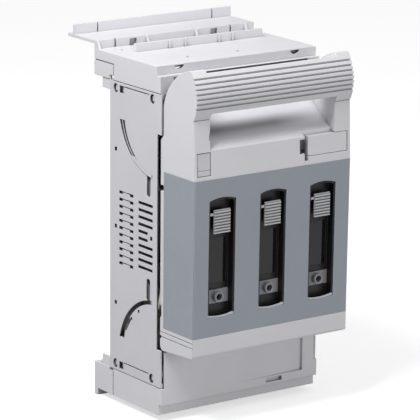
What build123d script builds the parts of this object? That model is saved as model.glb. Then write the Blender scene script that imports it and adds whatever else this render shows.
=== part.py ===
"""Three-pole fuse switch disconnector of size 00, 160 A, for flat busbars on a 60 mm spacing.

Frame: X across the poles, Y from the lid towards the busbars, Z up along the poles.
The origin is the middle of the overall width and depth, at the height of the lowest edge.
All sizes are millimetres.
"""

import os
from math import sqrt

from build123d import *

os.makedirs("parts", exist_ok=True)

# Overall size and pole layout
width = 106.0
overall_depth = 123.0
pole_margin = 5.5
pole_pitch = (width - pole_margin) / 3
busbar_spacing = 60.0
busbar_height = 20.0
busbar_thickness = 10.0

# General clearances
touch_gap = 0.3
slide_gap = 0.25
pin_gap = 0.05
pin_seat_gap = 0.02

# Depth stations, from the grip at the front to the tray at the back
grip_reach = 30.3
wall_setin = 1.1
wall_setback = 3.9
case_depth = 49.6
cover_depth = 66.3
grip_y = -overall_depth / 2
panel_y = grip_y + grip_reach
case_front_y = panel_y + wall_setin
setback_y = case_front_y + wall_setback
case_rear_y = case_front_y + case_depth
cover_rear_y = panel_y + cover_depth
tray_rear_y = overall_depth / 2

# Height stations, from the rear lip up to the fin
lip_drop = 4.0
skirt_height = 5.9
foot_cover_height = 15.3
case_height = 164.0
top_cover_height = 14.3
tray_step = 4.6
fin_height = 5.5
skirt_z = lip_drop
panel_foot_z = skirt_z + skirt_height
case_low_z = skirt_z + foot_cover_height
case_high_z = case_low_z + case_height
case_mid_z = (case_low_z + case_high_z) / 2
deck_z = case_high_z + top_cover_height
tray_z = deck_z + tray_step
fin_z = tray_z + fin_height

# Case walls
wall = 1.6
rim = 0.9
rim_depth = 6.0
joint_height = 0.4
joint_depth = 0.5
overlap = 0.5
overshoot = 1.0
rear_wall = 3.0
end_wall = 3.0
partition = 2.0
partition_setback = 8.0
setback_low_inset = 21.6
setback_high_inset = 22.4
inner_half = width / 2 - wall
case_back_y = case_rear_y - rear_wall
chamber_low_z = case_low_z + end_wall
chamber_high_z = case_high_z - end_wall
partition_y = panel_y + partition_setback
setback_low_z = case_low_z + setback_low_inset
setback_high_z = case_high_z - setback_high_inset

# Louvres in the side walls
vent_mid_z = case_mid_z + 0.6
louvre_pitch = 4.0
louvre_height = 1.7
louvre_length = 13.8
louvre_line = 0.5
louvre_line_rise = 0.5
louvre_end = 3.4
louvre_rear_y = panel_y + 34.7
louvre_front_y = panel_y + 16.0
louvre_rear_count = 11
louvre_front_count = 10
louvre_short_rows = 2
louvre_short_cut = 4.8

# Curved guide slots, as points of their arcs: depth, and rise from the end of the case
guide_outer = ((panel_y + 9.9, 47.9), (panel_y + 31.6, 37.6), (panel_y + 41.1, 20.5))
guide_inner = ((panel_y + 9.9, 45.6), (panel_y + 28.0, 37.0), (panel_y + 36.4, 20.5))
high_guide_rise = 38.9
guide_fin = 0.5
guide_hole = 1.6
guide_holes = ((panel_y + 22.4, 39.0), (panel_y + 29.4, 33.3))
guide_step_y = panel_y + 33.4
guide_step_rise = 29.5
guide_step_length = 9.0
guide_step_width = 3.0
guide_step_tilt = -58.0
ridge_width = 1.4
ridge_height = 0.4

# Straight slots in the side walls, shallow with a short through end
straight_slot_y = panel_y + 13.1
straight_slot_width = 3.6
straight_slot_length = 12.6
straight_slot_offset = 29.2
straight_slot_depth = 1.1
straight_slot_end = 4.8

# Snap holes, slots and seams near the ends of each side wall
snap_hole_width = 4.4
snap_hole_height = 5.2
snap_rear_y = case_rear_y - 5.5
snap_front_y = panel_y + 9.8
snap_inset = 4.0
square_slot = 4.0
square_slot_y = panel_y + 39.4
seam_depth = 0.5
seam_width = 0.6
seam_high_inset = 2.2
seam_low_inset = 6.0
seam_front_y = snap_front_y + 3.2
seam_rear_y = snap_rear_y - 8.2
peep_width = 2.2
peep_rear_y = panel_y + 45.0
peep_front_y = panel_y + 10.6
peep_offset = 43.5

# Lid
lid_setin = 1.0
lid_width = width - 2 * lid_setin
lid_half = lid_width / 2
lid_skin = 2.2
lid_side_skin = 3.2
lid_foot_reach = 26.4
lid_edge_reach = 27.5
lid_face_reach = 28.7
post_reach = 27.3
lid_rear_y = panel_y + 3.0
lid_rear_high_y = panel_y + 0.6
lid_foot_y = panel_y - lid_foot_reach
lid_edge_y = panel_y - lid_edge_reach
lid_face_high_y = panel_y - lid_face_reach
post_face_y = panel_y - post_reach
lid_corner_radius = 3.0
lid_gap = 1.2
lid_rear_low_z = case_low_z + 21.9
lid_front_low_z = lid_rear_low_z + 1.8
lid_edge_z = lid_front_low_z + 1.3
rear_step_z = 160.8
cap_start_z = 177.5
cap_mid_y = panel_y - 6.6
cap_mid_z = 190.4
cap_end_y = panel_y - 22.5
cap_front_flat = 2.6
lid_top_z = 199.7
bar_edge_z = 198.1
bar_edge_y = panel_y - 25.0
bar_fall_y = panel_y - 5.0
bar_fall_z = 187.7
bar_top_half = lid_half - 9.0
lid_seam = 0.4
foot_line_zs = (49.0, 51.7)
rear_notches = ((130.2, 133.5, 2.8), (59.8, 66.6, 1.1), (47.7, 49.5, 1.1))

# Blue-grey front panel of the lid
panel_low_z = 53.8
panel_high_z = 141.1
panel_skin = 1.6
panel_rear_y = panel_y + 0.2
lid_face = panel_skin + lid_skin

# Ribbed grip and the finger recess under it
grip_low_z = 173.6
grip_high_z = 196.0
grip_bulge = grip_reach - post_reach
groove_high_z = 195.7
groove_pitch = 2.6
groove_count = 7
groove_width = 1.0
groove_depth = 0.9
recess_half = lid_half - 10.3
recess_low_z = 156.8
recess_high_z = 176.7
recess_back_y = panel_y - 6.0
recess_back_z = 171.4
recess_mid_y = panel_y - 17.0
recess_mid_z = 162.9
recess_wall = 2.0
bar_chamfer = 2.0
bar_rear_y = panel_y - 18.0

# Lid windows and the dark pockets behind them
window_land = 15.9
window_width = pole_pitch - window_land
window_low_z = 64.6
window_shoulder_z = 129.0
window_arch = 1.6
window_sag = 0.9
sleeve_gap = 0.1
sleeve_wall = 1.0
sleeve_setin = 0.5
pocket_depth = 5.3
carrier_floor = 1.8
carrier_half = lid_half - lid_side_skin - 0.4
carrier_low_z = 56.0
carrier_high_z = 139.0

# Link holders behind the carrier: two cheeks joined by a strip above and below
holder_half = pole_pitch / 2 - 1.55
holder_cheek = 1.6
holder_depth = 15.0
holder_low_z = 66.0
holder_high_z = 132.0
holder_strip = 1.5
holder_strip_height = 5.0
holder_claw = 1.2
holder_claw_depth = 2.0

# Smoked panes
pane_width = window_width - 4.6
pane_low_z = 82.0
pane_high_z = 107.0
pane_thickness = 1.2
pane_rim = 1.5

# Ribbed fuse latches
latch_width = window_width - 7.0
latch_height = 13.0
latch_low_z = 110.6
latch_shift = 0.5
latch_setin = 1.3
latch_pad = 0.6
latch_rib_count = 8
latch_rib_depth = 0.5
latch_rib_share = 0.5
latch_stem_width = 5.0
latch_stem_height = 5.0
latch_stem_rise = 3.0
latch_foot_edge = 1.5
latch_foot = 1.4
latch_travel = 3.0
latch_bar_height = 1.4
latch_bar_drop = 1.6

# Probe brackets
bracket_low_z = 71.0
bracket_height = 7.6
bracket_thickness = 0.8
probe_radius = 1.9
probe_wall = 0.9
probe_setin = 1.7
probe_back_radius = 2.3

# Lock slide and marker plate
lock_width = 26.2
lock_right_x = lid_half - 2.6
lock_left_x = lock_right_x - lock_width
lock_low_z = 145.9
lock_depth = 3.9
lock_travel = 2.2
lock_side_gap = 0.5
lock_notch = 3.2
lock_notch_inset = 1.5
lock_notch_depth = 8.0
lock_slit_drop = 2.6
lock_boss_drop = 2.0
lock_wrap = 3.0
lock_back_y = panel_y - 21.6
lock_boss_left_x = lock_left_x - 7.2
lock_stem_width = 8.0
lock_stem_height = 4.0
lock_foot = 1.4
lock_foot_edge = 1.6
marker_left_x = 2.0 - lid_half
marker_width = 8.2
marker_low_z = 143.5
marker_height = 12.1
marker_pocket = 1.2
marker_setin = 0.2
marker_edge = 0.35
marker_line_z = 146.4
marker_line = 0.4

# Hinge
hinge_y = panel_y - 2.5
hinge_z = lid_rear_low_z + 5.7
hinge_pin_radius = 2.0
hinge_eye_radius = 3.0
ear_inner_x = lid_half - 8.0
ear_outer_x = lid_half - 4.0
ear_side_gap = 0.4
ear_sweep = 2.6
ear_slot_rise = 1.0
ear_root_setin = 2.5
ear_root_depth = 6.0
cheek_thickness = 2.2
cheek_radius = 4.2
cheek_lift = 0.6
pin_outer_x = lid_half - 1.0
pin_hole_end = 0.1

# Lower front panel
panel_top_z = lid_rear_low_z - lid_gap
panel_flange = 0.8
panel_flange_half = width / 2 - 2.0
panel_core = 1.8
panel_core_half = inner_half - 1.0
skirt_setin = 2.9
skirt_wall = 2.2
scoop_width = 46.0
scoop_right_x = width / 2 - 10.0
scoop_left_x = scoop_right_x - scoop_width
scoop_low_z = panel_foot_z + 4.6
scoop_depth = 1.7
notch_left_x = scoop_right_x - 25.3
notch_width = 11.0
notch_low_z = panel_foot_z + 1.2
notch_height = 2.5
notch_depth = 2.0

# Cable entries in the bottom of the case and of its cover
cable_width = pole_pitch - 9.5
cable_depth = 22.0
cable_y = panel_y + 21.0
floor_thickness = 2.0

# Rear lip, tongues and snap lugs of the covers
lip_thickness = 3.3
tongue_y = panel_y + 55.0
tongue_depth = 8.0
tongue_reach = 6.0
tongue_root = 2.0
snap_thickness = 1.8
snap_near = 2.2
snap_far = 4.8
snap_reach = 7.4
snap_root = 4.0
snap_lug_width = 2.4
snap_lug_height = 2.8
snap_lug_setin = 1.0
rear_seam_y = panel_y + 47.2
corner_notch_length = 4.3
corner_notch_high = 2.2
corner_notch_low = 1.4

# Top cover
deck_front_y = panel_y + 5.6
deck_lip_height = 5.1
front_wall_y = panel_y + 2.3
cover_skin = 2.2
tray_wall_y = panel_y + 63.8
tray_thickness = 1.8
fin_y = panel_y + 87.0
fin_thickness = 1.6
fin_slit = 0.8
fin_slit_xs = (15.2 - width / 2, width / 2 - 13.1)
riser_y = panel_y + 44.7
riser_thickness = 2.0
riser_left_x = 12.7 - width / 2
riser_right_x = width / 2 - 8.0
riser_rib_xs = (-18.1, -7.7, 15.0, 24.4)
riser_rib = 0.9
deck_notch_x = width / 2 - 14.4
deck_notch_half = 3.1
deck_notch_high_z = 197.0
deck_notch_drop = 2.2
vent_half = width / 2 - 8.6
vent_low_z = 186.0
vent_high_z = 191.4
gusset_xs = (0.8 - width / 2, -19.9, 13.1, width / 2 - 6.0)
gusset_thickness = 1.4
gusset_run = 2.5
tray_slit_xs = (12.0 - width / 2, width / 2 - 16.2)
tray_slit = 1.0
tray_slit_depth = 1.2
tray_pocket_xs = (tray_slit_xs[0] + 11.9, tray_slit_xs[1] - 11.4)
tray_pocket = 4.6
tray_pocket_depth = 1.6
tray_pocket_run = 1.0
tray_pocket_drop = 1.0
side_slit_z = case_high_z + 8.1
side_slit_height = 0.8
side_slit_depth = 0.6

# Contacts, in line with the blades of the fuse links
blade_gap = 5.6
jaw_thickness = 2.0
jaw_width = 12.0
jaw_bulge = 2.6
jaw_flare = 2.4
jaw_flange = 5.0
jaw_bend = 1.6
jaw_mouth_y = panel_y + 1.0
jaw_pinch_y = panel_y + 7.5
jaw_pinch_length = 9.0
jaw_belly_y = panel_y + 21.0
upper_jaw_z = 131.0
lower_jaw_z = 64.0
strip_width = 14.0
strip_thickness = 3.0
strip_margin = 1.0
spring_thickness = 0.8
spring_width = 5.0
spring_overhang = 1.2

# Shelf that carries the lower contacts
shelf_y = panel_y + 37.0
shelf_thickness = 3.0
shelf_high_z = 78.0

# Busbar hooks and their screws
hook_thickness = 3.0
hook_width = 14.0
hook_bend = 1.7
hook_drop = 9.0
hook_leg = 11.0
hook_screw_radius = 2.5
hook_head_across = 8.0
hook_head_height = 1.3

# Terminal screws and washers
terminal_z = 36.0
terminal_radius = 4.0
terminal_head_across = 13.0
terminal_head_height = 5.3
washer_radius = 7.0
washer_thickness = 1.6

# Arc chutes and their plates
chute_half = (pole_pitch - partition) / 2 - 2.75
chute_cheek = 1.6
chute_front_y = panel_y + 18.0
chute_back_y = panel_y + 38.0
chute_low_z = 143.0
chute_height = 27.0
plate_count = 5
plate_pitch = 4.6
plate_thickness = 1.2
plate_gap = 0.05
plate_notch_width = 9.0
plate_notch_depth = 11.0

pole_xs = [-pole_pitch, 0.0, pole_pitch]
busbar_zs = [case_mid_z + k * busbar_spacing for k in (1, 0, -1)]
hook_zs = [z + busbar_height / 2 + touch_gap + hook_thickness / 2 for z in busbar_zs]
snap_ys = (snap_rear_y, snap_front_y)
strip_front_y = case_back_y - strip_thickness


def at_x(x):
    """Plane across X, with Y and Z as its own axes; an extrusion grows towards +X."""
    return Plane.YZ.offset(x)


def at_y(y):
    """Plane across Y, with X and Z as its own axes; an extrusion grows towards -Y."""
    return Plane.XZ.offset(-y)


def at_z(z):
    """Plane across Z, with X and Y as its own axes; an extrusion grows towards +Z."""
    return Plane.XY.offset(z)


def block(x, y, z, mode=Mode.ADD):
    """Box between two limits along each axis."""
    with Locations(((x[0] + x[1]) / 2, (y[0] + y[1]) / 2, (z[0] + z[1]) / 2)):
        Box(abs(x[1] - x[0]), abs(y[1] - y[0]), abs(z[1] - z[0]), mode=mode)


def keep(builder, label):
    """Label a finished piece and write its file."""
    builder.part.label = label
    export_step(builder.part, f"parts/{label}.step")


def lid_face_y(z):
    """Depth of the lid's front face at a height, below the grip."""
    if z < panel_high_z:
        share = (z - lid_edge_z) / (panel_high_z - lid_edge_z)
        return lid_edge_y + share * (lid_face_high_y - lid_edge_y)
    share = (z - panel_high_z) / (grip_low_z - panel_high_z)
    return lid_face_high_y + share * (post_face_y - lid_face_high_y)


def slab(x, depth, z, mode=Mode.ADD):
    """Plate parallel to the lid's face, between two depths behind it and two heights."""
    with BuildSketch(at_x(x[0])) as side_face:
        with BuildLine():
            Polyline(
                (lid_face_y(z[0]) + depth[0], z[0]),
                (lid_face_y(z[1]) + depth[0], z[1]),
                (lid_face_y(z[1]) + depth[1], z[1]),
                (lid_face_y(z[0]) + depth[1], z[0]),
                close=True,
            )
        make_face()
    extrude(side_face.sketch, amount=x[1] - x[0], mode=mode)


grip_half = (grip_high_z - grip_low_z) / 2
grip_radius = (grip_half**2 + grip_bulge**2) / (2 * grip_bulge)
grip_mid_z = (grip_high_z + grip_low_z) / 2


def grip_face_y(z):
    """Depth of the bulging grip at a height."""
    return grip_y + grip_radius - sqrt(grip_radius**2 - (z - grip_mid_z) ** 2)


def lid_outline(x):
    """Side outline of the lid, on a plane across X."""
    with BuildSketch(at_x(x)) as outline:
        with BuildLine():
            Polyline(
                (lid_rear_high_y, cap_start_z),
                (lid_rear_high_y, rear_step_z),
                (lid_rear_y, rear_step_z - (lid_rear_y - lid_rear_high_y)),
                (lid_rear_y, lid_rear_low_z + lid_corner_radius),
            )
            RadiusArc(
                (lid_rear_y, lid_rear_low_z + lid_corner_radius),
                (lid_rear_y - lid_corner_radius, lid_rear_low_z),
                lid_corner_radius,
            )
            Polyline(
                (lid_rear_y - lid_corner_radius, lid_rear_low_z),
                (lid_foot_y, lid_front_low_z),
                (lid_edge_y, lid_edge_z),
                (lid_face_high_y, panel_high_z),
                (post_face_y, grip_low_z),
            )
            ThreePointArc((post_face_y, grip_low_z), (grip_y, grip_mid_z), (post_face_y, grip_high_z))
            Polyline(
                (post_face_y, grip_high_z),
                (cap_end_y - cap_front_flat, lid_top_z),
                (cap_end_y, lid_top_z),
            )
            ThreePointArc(
                (cap_end_y, lid_top_z),
                (cap_mid_y, cap_mid_z),
                (lid_rear_high_y, cap_start_z),
            )
        make_face()
    return outline.sketch


def recess_outline(x):
    """Side outline of the finger recess, which runs up behind the grip, on a plane across X."""
    front_y = grip_y - overshoot
    with BuildSketch(at_x(x)) as outline:
        with BuildLine():
            Line((front_y, recess_low_z), (lid_face_y(recess_low_z), recess_low_z))
            ThreePointArc(
                (lid_face_y(recess_low_z), recess_low_z),
                (recess_mid_y, recess_mid_z),
                (recess_back_y, recess_back_z),
            )
            Polyline(
                (recess_back_y, recess_back_z),
                (recess_back_y, lid_top_z + overshoot),
                (bar_rear_y, lid_top_z + overshoot),
                (bar_rear_y, recess_high_z + bar_chamfer),
                (bar_rear_y - bar_chamfer, recess_high_z),
                (front_y, recess_high_z),
                (front_y, recess_low_z),
            )
        make_face()
    return outline.sketch


def window_outline(x, grow):
    """Window with a sagging sill and an arched head, grown by a margin, on the plane of the panel."""
    half = window_width / 2 + grow
    low = window_low_z - grow
    high = window_shoulder_z + grow
    with BuildSketch(at_y(panel_y)) as outline:
        with BuildLine():
            Line((x - half, high), (x - half, low))
            ThreePointArc((x - half, low), (x, low - window_sag), (x + half, low))
            Line((x + half, low), (x + half, high))
            ThreePointArc((x + half, high), (x, high + window_arch), (x - half, high))
        make_face()
    return outline.sketch


def from_end(points, end_z, up):
    """Points given as depth and rise, placed from one end of the case; up is 1 or -1."""
    return [(y, end_z + up * rise) for y, rise in points]


def guide_outline(x, end_z, up, rise_limit):
    """Crescent between the two arcs of a guide slot, up to a rise, on a plane across X."""
    outer = from_end(guide_outer, end_z, up)
    inner = from_end(guide_inner, end_z, up)
    with BuildSketch(at_x(x)) as outline:
        with BuildLine():
            ThreePointArc(*outer)
            Line(outer[-1], inner[-1])
            ThreePointArc(*inner)
            Line(inner[0], outer[0])
        make_face()
        with Locations(((guide_outer[0][0] + guide_outer[-1][0]) / 2, end_z + up * rise_limit / 2)):
            Rectangle(width, rise_limit, mode=Mode.INTERSECT)
    return outline.sketch


def guide_band(x, line_width, rises):
    """Band along the middle of the upper guide between two rises, on a plane across X."""
    middle = [
        ((y_out + y_in) / 2, (rise_out + rise_in) / 2)
        for (y_out, rise_out), (y_in, rise_in) in zip(guide_outer, guide_inner)
    ]
    with BuildSketch(at_x(x)) as outline:
        with BuildLine():
            ThreePointArc(*from_end(middle, case_high_z, -1))
        trace(line_width=line_width)
        with Locations((middle[1][0], case_high_z - sum(rises) / 2)):
            Rectangle(width, rises[1] - rises[0], mode=Mode.INTERSECT)
    return outline.sketch


def snap_span(y, grow):
    """Limits along Y of the snap tongue at one hole, on the side away from the case's end faces."""
    if y == snap_rear_y:
        return (y - snap_far - grow, y + snap_near + grow)
    return (y - snap_near - grow, y + snap_far + grow)


def cover_snaps(end_z, up):
    """Snap tongues that reach from a cover into the case; up is 1 or -1."""
    for side in (-1, 1):
        inner = side * (inner_half - touch_gap - snap_thickness)
        outer = side * (inner_half - touch_gap)
        for y in snap_ys:
            span = snap_span(y, 0.0)
            block(sorted((inner, outer)), span, sorted((end_z, end_z + up * snap_reach)))
            block(
                sorted((inner, side * (inner_half + overlap))),
                span,
                sorted((end_z - up * snap_root, end_z)),
            )
            lug_z = end_z + up * snap_inset
            block(
                sorted((outer - side * overlap, side * (width / 2 - snap_lug_setin))),
                (y - snap_lug_width / 2, y + snap_lug_width / 2),
                (lug_z - snap_lug_height / 2, lug_z + snap_lug_height / 2),
            )


def rear_tongues(end_z, up):
    """Side tongues of a cover behind the case, which guard the busbar ends."""
    for side in (-1, 1):
        block(
            sorted((side * inner_half, side * (width / 2 - joint_depth))),
            (tongue_y - tongue_depth / 2, tongue_y + tongue_depth / 2),
            sorted((end_z - up * tongue_root, end_z + up * tongue_reach)),
        )


# Case: one moulding with three chambers, open at the front
with BuildPart() as case:
    with BuildSketch(at_x(-width / 2)):
        with BuildLine():
            Polyline(
                (case_rear_y, case_low_z),
                (case_rear_y, case_high_z),
                (case_front_y, case_high_z),
                (case_front_y, setback_high_z),
                (setback_y, setback_high_z),
                (setback_y, setback_low_z),
                (case_front_y, setback_low_z),
                (case_front_y, case_low_z),
                close=True,
            )
        make_face()
    extrude(amount=width)
    first_wall = pole_pitch / 2
    for left_x, right_x in (
        (-inner_half, -first_wall - partition / 2),
        (-first_wall + partition / 2, first_wall - partition / 2),
        (first_wall + partition / 2, inner_half),
    ):
        block(
            (left_x, right_x),
            (case_front_y - overshoot, case_back_y),
            (chamber_low_z, chamber_high_z),
            mode=Mode.SUBTRACT,
        )
    block(
        (-inner_half, inner_half),
        (case_front_y - overshoot, partition_y),
        (chamber_low_z, chamber_high_z),
        mode=Mode.SUBTRACT,
    )
    # Lower end wall set back behind the core of the bottom cover's panel
    block(
        (-inner_half, inner_half),
        (case_front_y - overshoot, panel_y + panel_flange + panel_core + touch_gap),
        (case_low_z - overshoot, chamber_low_z),
        mode=Mode.SUBTRACT,
    )
    # Thin front rims of the side walls, and a joint line at both covers
    for side in (-1, 1):
        block(
            sorted((side * (inner_half - overlap), side * (width / 2 - rim))),
            (case_front_y - overshoot, setback_y + rim_depth),
            (chamber_low_z, chamber_high_z),
            mode=Mode.SUBTRACT,
        )
        for end_z, up in ((case_low_z, 1), (case_high_z, -1)):
            block(
                sorted((side * (width / 2 - joint_depth), side * (width / 2 + overshoot))),
                (case_front_y - overshoot, case_rear_y + overshoot),
                sorted((end_z - up * overshoot, end_z + up * joint_height)),
                mode=Mode.SUBTRACT,
            )
    # Shelf for the lower contacts, with the busbar strips behind it
    block((-inner_half, inner_half), (shelf_y, shelf_y + shelf_thickness), (chamber_low_z, shelf_high_z))
    with BuildSketch(at_y(shelf_y + shelf_thickness)):
        with Locations([(x, terminal_z) for x in pole_xs]):
            Circle(terminal_radius + pin_seat_gap)
    extrude(amount=shelf_thickness, mode=Mode.SUBTRACT)
    # Hook slots through the rear wall
    with BuildSketch(at_y(case_rear_y)):
        with Locations([(x, z) for x, z in zip(pole_xs, hook_zs)]):
            Rectangle(hook_width + 2 * touch_gap, hook_thickness + 2 * touch_gap)
    extrude(amount=rear_wall, mode=Mode.SUBTRACT)
    # Cable entries through the lower end wall
    with BuildSketch(at_z(case_low_z)):
        with Locations([(x, cable_y) for x in pole_xs]):
            Rectangle(cable_width, cable_depth)
    extrude(amount=end_wall, mode=Mode.SUBTRACT)
    # Ears for the hinge pins, rooted in the side walls
    for side in (-1, 1):
        with BuildSketch(at_x(side * ear_inner_x)):
            with Locations((hinge_y, hinge_z)):
                Circle(hinge_eye_radius)
            ear_end_y = setback_y + ear_root_setin + ear_root_depth
            with Locations(((hinge_y + ear_end_y) / 2, hinge_z)):
                Rectangle(ear_end_y - hinge_y, 2 * hinge_eye_radius)
            with Locations((hinge_y, hinge_z)):
                Circle(hinge_pin_radius + pin_gap, mode=Mode.SUBTRACT)
        extrude(amount=side * (ear_outer_x - ear_inner_x))
        block(
            sorted((side * ear_inner_x, side * (width / 2 - rim / 2))),
            (setback_y + ear_root_setin, ear_end_y),
            (hinge_z - hinge_eye_radius, hinge_z + hinge_eye_radius),
        )
    # Openings and marks in both side walls
    for side in (-1, 1):
        face = at_x(side * width / 2)
        through = -side * (wall + overlap)
        with BuildSketch(face):
            with Locations((louvre_rear_y, vent_mid_z + louvre_line_rise)):
                with GridLocations(louvre_pitch, louvre_pitch, 1, louvre_rear_count):
                    Rectangle(louvre_length, louvre_line)
            for seam_z in (case_high_z - seam_high_inset, case_low_z + seam_low_inset):
                with Locations(((seam_front_y + seam_rear_y) / 2, seam_z)):
                    Rectangle(seam_rear_y - seam_front_y, seam_width)
        extrude(amount=-side * seam_depth, mode=Mode.SUBTRACT)
        slot_zs = [vent_mid_z + k * straight_slot_offset for k in (-1, 1)]
        with BuildSketch(face):
            with Locations([(straight_slot_y, z) for z in slot_zs]):
                SlotOverall(straight_slot_length, straight_slot_width, rotation=90)
        extrude(amount=-side * straight_slot_depth, mode=Mode.SUBTRACT)
        with BuildSketch(face):
            with Locations((louvre_rear_y, vent_mid_z)):
                with GridLocations(louvre_length - louvre_end, louvre_pitch, 2, louvre_rear_count):
                    Rectangle(louvre_end, louvre_height)
            with Locations((louvre_front_y, vent_mid_z)):
                with GridLocations(louvre_pitch, louvre_pitch, 1, louvre_front_count):
                    Rectangle(louvre_length, louvre_height)
            with Locations((louvre_front_y - (louvre_length - louvre_short_cut) / 2, vent_mid_z)):
                Rectangle(louvre_short_cut, louvre_short_rows * louvre_pitch, mode=Mode.SUBTRACT)
            slot_end_rise = (straight_slot_length - straight_slot_end) / 2
            with Locations([(straight_slot_y, z + slot_end_rise) for z in slot_zs]):
                SlotOverall(straight_slot_end, straight_slot_width, rotation=90)
            snap_zs = (case_low_z + snap_inset, case_high_z - snap_inset)
            with Locations([(y, z) for y in snap_ys for z in snap_zs]):
                Ellipse(snap_hole_width / 2, snap_hole_height / 2)
            with Locations([(square_slot_y, z) for z in snap_zs]):
                Rectangle(square_slot, square_slot)
            with Locations(
                (peep_rear_y, vent_mid_z + peep_offset),
                (peep_rear_y, vent_mid_z),
                (peep_rear_y, vent_mid_z - peep_offset),
                (peep_front_y, vent_mid_z),
            ):
                Rectangle(peep_width, peep_width)
            with Locations(from_end(guide_holes, case_low_z, 1)):
                Rectangle(guide_hole, guide_hole)
            with Locations((guide_step_y, case_low_z + guide_step_rise)):
                Rectangle(guide_step_length, guide_step_width, rotation=guide_step_tilt)
        extrude(amount=through, mode=Mode.SUBTRACT)
        for end_z, up, rise in ((case_low_z, 1, guide_outer[0][1]), (case_high_z, -1, high_guide_rise)):
            extrude(guide_outline(side * width / 2, end_z, up, rise), amount=through, mode=Mode.SUBTRACT)
        fin_rises = (guide_outer[-1][1], high_guide_rise + overlap)
        extrude(guide_band(side * width / 2, guide_fin, fin_rises), amount=-side * wall)
        ridge_rises = (high_guide_rise, guide_outer[0][1])
        extrude(guide_band(side * width / 2, ridge_width, ridge_rises), amount=side * ridge_height)
        # Passages for the snap tongues of both covers
        for y in snap_ys:
            for end_z, up in ((case_low_z, 1), (case_high_z, -1)):
                block(
                    sorted((side * (inner_half - snap_thickness - 2 * touch_gap), side * inner_half)),
                    snap_span(y, touch_gap),
                    sorted((end_z, end_z + up * end_wall)),
                    mode=Mode.SUBTRACT,
                )
keep(case, "case")

# Bottom cover: front panel, skirt, floor and rear lip in one moulding
with BuildPart() as bottom_cover:
    skirt_y = panel_y + skirt_setin
    with BuildSketch(at_x(-width / 2)):
        with BuildLine():
            Polyline(
                (panel_y, panel_foot_z),
                (panel_y, case_low_z),
                (cover_rear_y, case_low_z),
                (cover_rear_y, 0.0),
                (cover_rear_y - lip_thickness, 0.0),
                (cover_rear_y - lip_thickness, skirt_z),
                (skirt_y, skirt_z),
                (skirt_y, panel_foot_z),
                close=True,
            )
        make_face()
    extrude(amount=width)
    block(
        (-inner_half, inner_half),
        (skirt_y + skirt_wall, cover_rear_y - lip_thickness),
        (skirt_z + floor_thickness, case_low_z + overshoot),
        mode=Mode.SUBTRACT,
    )
    block(
        (-panel_flange_half, panel_flange_half),
        (panel_y, panel_y + panel_flange),
        (case_low_z - overlap, panel_top_z),
    )
    block(
        (-panel_core_half, panel_core_half),
        (panel_y + panel_flange, panel_y + panel_flange + panel_core),
        (case_low_z - overlap, panel_top_z),
    )
    with BuildSketch(at_z(skirt_z)):
        with Locations([(x, cable_y) for x in pole_xs]):
            Rectangle(cable_width, cable_depth)
    extrude(amount=floor_thickness, mode=Mode.SUBTRACT)
    # Scooped field on the panel, deeper towards its right edge
    with BuildSketch(at_z(scoop_low_z)):
        with BuildLine():
            Polyline(
                (scoop_left_x, panel_y - overshoot),
                (scoop_left_x, panel_y),
                (scoop_right_x, panel_y + scoop_depth),
                (scoop_right_x, panel_y - overshoot),
                close=True,
            )
        make_face()
    extrude(amount=panel_top_z - scoop_low_z + overshoot, mode=Mode.SUBTRACT)
    block(
        (notch_left_x, notch_left_x + notch_width),
        (panel_y - overshoot, panel_y + notch_depth),
        (notch_low_z, notch_low_z + notch_height),
        mode=Mode.SUBTRACT,
    )
    for side in (-1, 1):
        block(
            sorted((side * (width / 2 - seam_depth), side * (width / 2 + overshoot))),
            (rear_seam_y, rear_seam_y + seam_width),
            (skirt_z - overshoot, case_low_z),
            mode=Mode.SUBTRACT,
        )
        block(
            sorted((side * (inner_half - overlap), side * (width / 2 + overshoot))),
            (rear_seam_y, rear_seam_y + corner_notch_length),
            (case_low_z - corner_notch_low, case_low_z + overshoot),
            mode=Mode.SUBTRACT,
        )
    cover_snaps(case_low_z, 1)
    rear_tongues(case_low_z, 1)
keep(bottom_cover, "bottom_cover")

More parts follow.
